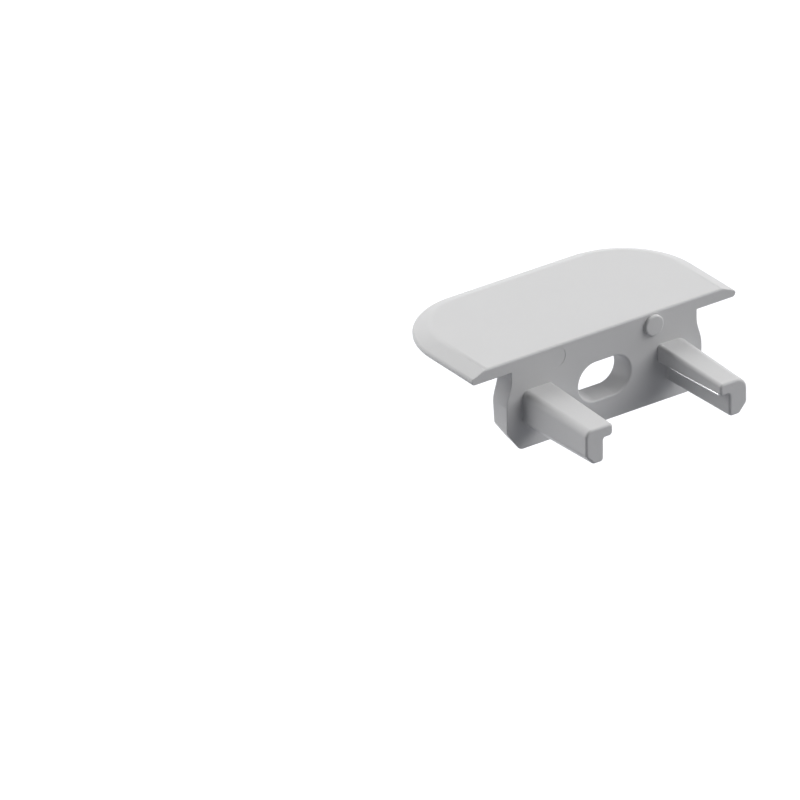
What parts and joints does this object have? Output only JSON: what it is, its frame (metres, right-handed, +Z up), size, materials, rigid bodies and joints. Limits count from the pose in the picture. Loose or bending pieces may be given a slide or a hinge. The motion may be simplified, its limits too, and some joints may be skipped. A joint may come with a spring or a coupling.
{
  "type": "profile end cap",
  "caption": "Moulded end cap for a recessed channel profile: a bevelled flange with rounded corners over a web with a cable slot and drafted plug-in prongs.",
  "frame": {"origin": "on the flat seat face that meets the end of the profile, in the middle of its width, at the level of the flange's underside", "axes": "+X across the profile, -Y along the prongs into the profile, +Z up out of the flange's show face"},
  "size_m": [0.0246, 0.0199, 0.0078],
  "materials": {
    "cap_plastic": "light grey moulded plastic with a fine satin texture"
  },
  "bodies": {
    "root": {"end_cap": "cap_plastic"}
  },
  "joints": []
}
